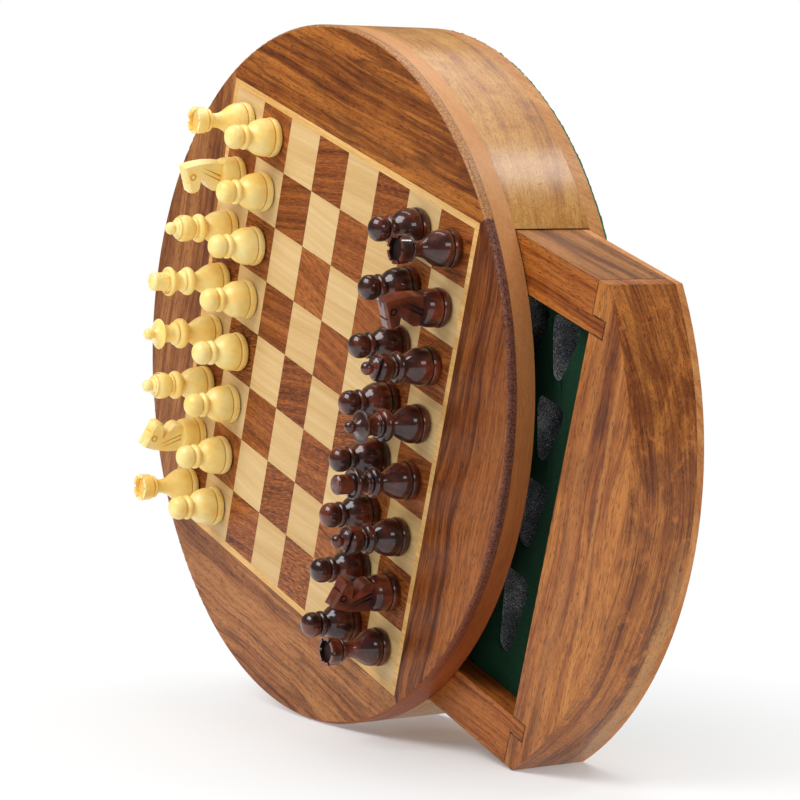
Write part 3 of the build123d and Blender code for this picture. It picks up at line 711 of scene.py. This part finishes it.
def shown_place(kind, height):
    """A packed height in millimetres as shown, with the share of girth there."""
    rows = SHOWN[kind]
    for (low, low_shown, low_girth), (high, high_shown, high_girth) in zip(rows, rows[1:]):
        if height <= high:
            break
    share = (height - low) / (high - low)
    return low_shown + share * (high_shown - low_shown), low_girth + share * (high_girth - low_girth)


def girths(mesh, axis):
    """The man's greatest radius at each tenth of a millimetre of height."""
    widest = {}
    for face in mesh.polygons:
        reach = [(mesh.vertices[v].co - axis).xy.length for v in face.vertices]
        level = round((face.center.z - board_top) / LEVEL)
        widest[level] = max(widest.get(level, 0.0), max(reach))
    return widest


def in_groove(heights):
    slack = 0.01 * MM
    return min(heights) > RING_TOP - slack and max(heights) < GROOVE_TOP + slack


def in_hollow(kind, face, axis, widest, dark):
    """True in a bishop's slot, and in a dark rook's hollow and notches."""
    if kind not in HOLLOWS or (kind == "rook" and not dark):
        return False
    level = round((face.center.z - board_top) / LEVEL)
    girth = max(widest.get(level + step, 0.0) for step in (-2, -1, 0, 1, 2))
    depth = girth - (face.center - axis).xy.length
    lowest, highest = HOLLOWS[kind]
    return depth > HOLLOW_DEPTH and lowest < level < highest


def in_sawn_line(kind, face, axis, heights, dark):
    """True in the mane's cuts and round the eye of a dark knight."""
    if kind != "knight" or not dark:
        return False
    sunk = KNIGHT_HALF - abs(face.center.x - axis.x)
    upright = abs(face.normal.x) > 0.97 or abs(face.normal.x) < 0.1
    return SAWN_LEAST < sunk < SAWN_MOST and max(heights) > board_top + KNIGHT_HEAD_FOOT and upright


def dress_man(node):
    """Show a man in turned wood, with painted shade where it is cut in, over its felt pad."""
    colour, kind = node.split("_")[:2]
    dark = colour == "black"
    mesh = copied_mesh(node, node + "_turned")
    mesh.materials.clear()
    for material in MEN_LOOKS[colour]:
        mesh.materials.append(material)
    low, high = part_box(node)
    axis = Vector(((low.x + high.x) / 2, (low.y + high.y) / 2, 0))
    widest = girths(mesh, axis)
    for face in mesh.polygons:
        heights = [mesh.vertices[v].co.z for v in face.vertices]
        if max(heights) < PAD_TOP + 0.001 * MM and abs(face.normal.z) < 0.99:
            face.material_index = 2
        # Painted shade: the groove above the foot, and the cuts of a slot, hollow or sawn line, take
        # the darkened wood
        elif in_groove(heights):
            face.material_index = 1
        elif in_hollow(kind, face, axis, widest, dark) or in_sawn_line(kind, face, axis, heights, dark):
            face.material_index = 1
    for vertex in mesh.vertices:
        height, girth = shown_place(kind, (vertex.co.z - board_top) / MM)
        vertex.co.z = board_top + height * MM
        vertex.co.xy = axis.xy + (vertex.co.xy - axis.xy) * girth
    shade_by_angle(mesh, 22 if kind == "knight" else 40)
    new_piece(node + "_man", mesh, node, f"{colour}_men", node)


# A man's wood, its wood with painted shade where it is cut in, and its pad
MEN_LOOKS = {
    "white": (white_wood, white_recess_shade, pad_felt),
    "black": (black_wood, black_recess_shade, pad_felt),
}
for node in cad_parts:
    if node.startswith(("white_", "black_")):
        dress_man(node)


def felt_disc():
    """The base felt, with the uneven edge of cut felt round its rim."""
    low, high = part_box("base_felt")
    steps = 1200
    form = bmesh.new()
    rings = []
    levels = ((low.z, 0.8), (low.z + 0.4 * MM, 0.3), (high.z - 0.3 * MM, 0.2), (high.z, 0.3))
    for z, inset in levels:
        ring = []
        for step in range(steps):
            angle = 2 * math.pi * step / steps
            spot = Vector((math.cos(angle), math.sin(angle), 0))
            tufts = noise.noise(spot * 240 + Vector((0, 0, z * 2500)))
            ragged = noise.noise(spot * 60) * 0.3 + tufts * 0.4
            radius = disc_radius + (ragged - inset) * MM
            ring.append(form.verts.new((spot.x * radius, spot.y * radius, z)))
        rings.append(ring)
    for lower, upper in zip(rings, rings[1:]):
        for step in range(steps):
            after = (step + 1) % steps
            form.faces.new((lower[step], lower[after], upper[after], upper[step]))
    form.faces.new(reversed(rings[0]))
    form.faces.new(rings[-1])
    mesh = bpy.data.meshes.new("base_felt_cut")
    form.to_mesh(mesh)
    form.free()
    mesh.materials.append(base_felt)
    shade_by_angle(mesh, 50)
    piece = new_piece("base_felt_cut", mesh, "case", "base_felt", "base_felt")


felt_disc()


def insert_piece(node, name, material, slot_name, ease):
    """A soft sheet of the drawer's insert, cut to the node's form, with eased edges."""
    mesh = copied_mesh(node, name)
    mesh.materials.clear()
    mesh.materials.append(material)
    piece = new_piece(name, mesh, "drawer", slot_name, node)
    ease_edges(piece, ease)
    shade_by_angle(piece.data, 50)
    return piece


liner = insert_piece("pocket_liner", "liner_cut", liner_felt, "liner_felt", 0.25 * MM)
foam_piece = insert_piece("pocket_foam", "pocket_foam_cut", foam_material, "foam", 0.3 * MM)
foam_sheet = insert_piece("foam_base", "foam_base_cut", foam_material, "foam", 0.4 * MM)

# The camera's view is rolled, because the photographed set stands on its rim
camera_data = bpy.data.cameras.new("view")
camera_data.lens = 133.23
camera_data.sensor_width = 36
camera_data.clip_start = 0.05
camera = bpy.data.objects.new("view", camera_data)
bpy.context.scene.collection.objects.link(camera)
CAMERA_SPOT = Vector((0.77679, 0.31382, 0.53457))
CAMERA_RIGHT = Vector((0.50618, 0.16424, -0.84664))
CAMERA_UP = Vector((-0.36333, 0.93094, -0.03663))
CAMERA_BACK = CAMERA_RIGHT.cross(CAMERA_UP)
turn = Matrix((CAMERA_RIGHT, CAMERA_UP, CAMERA_BACK)).transposed()
camera.matrix_world = Matrix.Translation(CAMERA_SPOT) @ turn.to_4x4()
bpy.context.scene.camera = camera

# The floor lies just under the rim of the standing disc
STAND_TILT = math.radians(17.6)
UP = Vector((-math.sin(STAND_TILT), math.cos(STAND_TILT), 0))
FLOOR_GAP = 0.3 * MM
FLOOR_HALF = 2.5
MIDDLE = Vector((0, 0, 0.03))


def floor_material():
    """A pale floor that shows the shadow near the object and fades to white further out."""
    m = Material("pale_floor")
    m.feed(m.shader.inputs["Base Color"], (0.86, 0.855, 0.85, 1.0))
    m.feed(m.shader.inputs["Roughness"], 0.9)
    point = m.node("ShaderNodeTexCoord").outputs["Object"]
    distance = m.node("ShaderNodeVectorMath", {0: point}, operation="LENGTH").outputs["Value"]
    fade = m.span(distance, 0.005, 0.18)
    camera_ray = m.node("ShaderNodeLightPath").outputs["Is Camera Ray"]
    white = m.node("ShaderNodeEmission", {"Color": (1, 1, 1, 1), "Strength": 1.0}).outputs[0]
    # Light still reaches the set from below, so its rim isn't black where it meets the floor
    shown = m.maths("MULTIPLY", m.maths("MAXIMUM", fade, 0.12), camera_ray)
    unseen = m.maths("MULTIPLY", m.maths("SUBTRACT", 1.0, camera_ray), 0.3)
    factor = m.maths("MAXIMUM", shown, unseen)
    top = m.node("ShaderNodeMixShader", {0: factor, 1: m.shader.outputs[0], 2: white}).outputs[0]
    clear = m.node("ShaderNodeBsdfTransparent").outputs[0]
    behind = m.node("ShaderNodeNewGeometry").outputs["Backfacing"]
    surface = m.node("ShaderNodeMixShader", {0: behind, 1: top, 2: clear}).outputs[0]
    m.link(surface, m.nodes["Material Output"].inputs["Surface"])
    return m.material


def floor_plane():
    mesh = bpy.data.meshes.new("floor")
    half = FLOOR_HALF
    corners = [(-half, -half, 0), (half, -half, 0), (half, half, 0), (-half, half, 0)]
    mesh.from_pydata(corners, [], [(0, 1, 2, 3)])
    mesh.materials.append(floor_material())
    floor = bpy.data.objects.new("floor", mesh)
    bpy.context.scene.collection.objects.link(floor)
    along = Vector((UP.y, -UP.x, 0))
    floor_turn = Matrix((along, Vector((0, 0, -1)), UP)).transposed()
    spot = -UP * (disc_radius + FLOOR_GAP) + along * 0.06 + MIDDLE
    floor.matrix_world = Matrix.Translation(spot) @ floor_turn.to_4x4()


floor_plane()


def softbox(name, right, up, back, distance, width, height, power):
    """An area lamp seen from the object in this direction, in terms of the picture."""
    data = bpy.data.lights.new(name, "AREA")
    data.shape = "RECTANGLE"
    data.size = width
    data.size_y = height
    data.energy = power
    lamp = bpy.data.objects.new(name, data)
    bpy.context.scene.collection.objects.link(lamp)
    aim = (CAMERA_RIGHT * right + CAMERA_UP * up + CAMERA_BACK * back).normalized()
    lamp.location = MIDDLE + aim * distance
    lamp.rotation_euler = aim.to_track_quat("Z", "Y").to_euler()


softbox("key", -0.6, 0.75, 0.35, 1.1, 0.8, 0.6, 10.0)
softbox("top", 0.15, 1.0, -0.25, 1.1, 0.9, 0.7, 6.0)
softbox("fill", 0.55, 0.35, 0.8, 1.4, 0.4, 0.6, 3.0)
softbox("window", 0.61, 0.79, 0.03, 1.2, 0.20, 0.24, 2.2)

# The world is white to the camera, and dimmer as a light and in reflections
AMBIENT = 0.40
REFLECTED = 0.12
world = bpy.data.worlds.new("studio")
bpy.context.scene.world = world
world.use_nodes = True
background = world.node_tree.nodes["Background"]
background.inputs["Color"].default_value = (1, 1, 1, 1)
path = world.node_tree.nodes.new("ShaderNodeLightPath")


def world_maths(operation, first, second):
    made = world.node_tree.nodes.new("ShaderNodeMath")
    made.operation = operation
    for socket, value in zip(made.inputs, (first, second)):
        if isinstance(value, bpy.types.NodeSocket):
            world.node_tree.links.new(value, socket)
        else:
            socket.default_value = value
    return made.outputs[0]


seen = world_maths("MAXIMUM", path.outputs["Is Camera Ray"], path.outputs["Is Transmission Ray"])
strength = world_maths("ADD", world_maths("MULTIPLY", seen, 1.0 - AMBIENT), AMBIENT)
dimmed = world_maths("MULTIPLY", path.outputs["Is Glossy Ray"], AMBIENT - REFLECTED)
strength = world_maths("SUBTRACT", strength, dimmed)
world.node_tree.links.new(strength, background.inputs["Strength"])

bpy.context.scene.view_settings.view_transform = "Standard"
